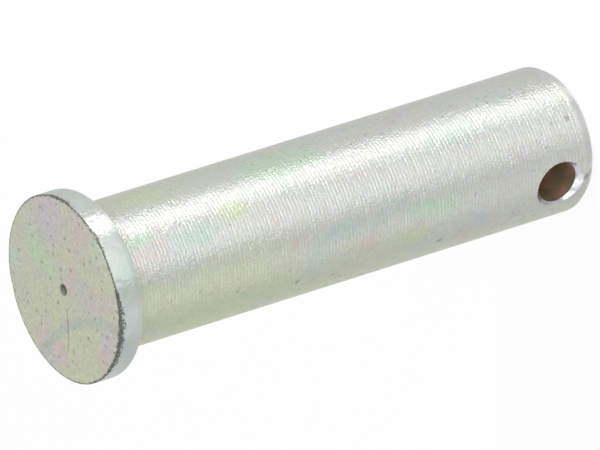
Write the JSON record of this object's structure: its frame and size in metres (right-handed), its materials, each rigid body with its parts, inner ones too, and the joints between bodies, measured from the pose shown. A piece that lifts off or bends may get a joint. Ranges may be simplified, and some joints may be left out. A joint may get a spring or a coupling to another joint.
{
  "type": "clevis pin",
  "caption": "Headed steel clevis pin: a plain round shank with a countersunk cross hole near its chamfered end for a cotter, and a flat round head.",
  "frame": {"origin": "centre of the flat of the plain end, on which the pin stands", "axes": "+Z along the pin's axis from the plain end up to the head, -Y out of one mouth of the cotter hole"},
  "size_m": [0.0154, 0.0154, 0.0476],
  "materials": {
    "zinc_plated_steel": "zinc plated over turned steel, faint iridescent tints, fine feed marks round the shank"
  },
  "bodies": {
    "root": {"clevis_pin": "zinc_plated_steel"}
  },
  "joints": []
}
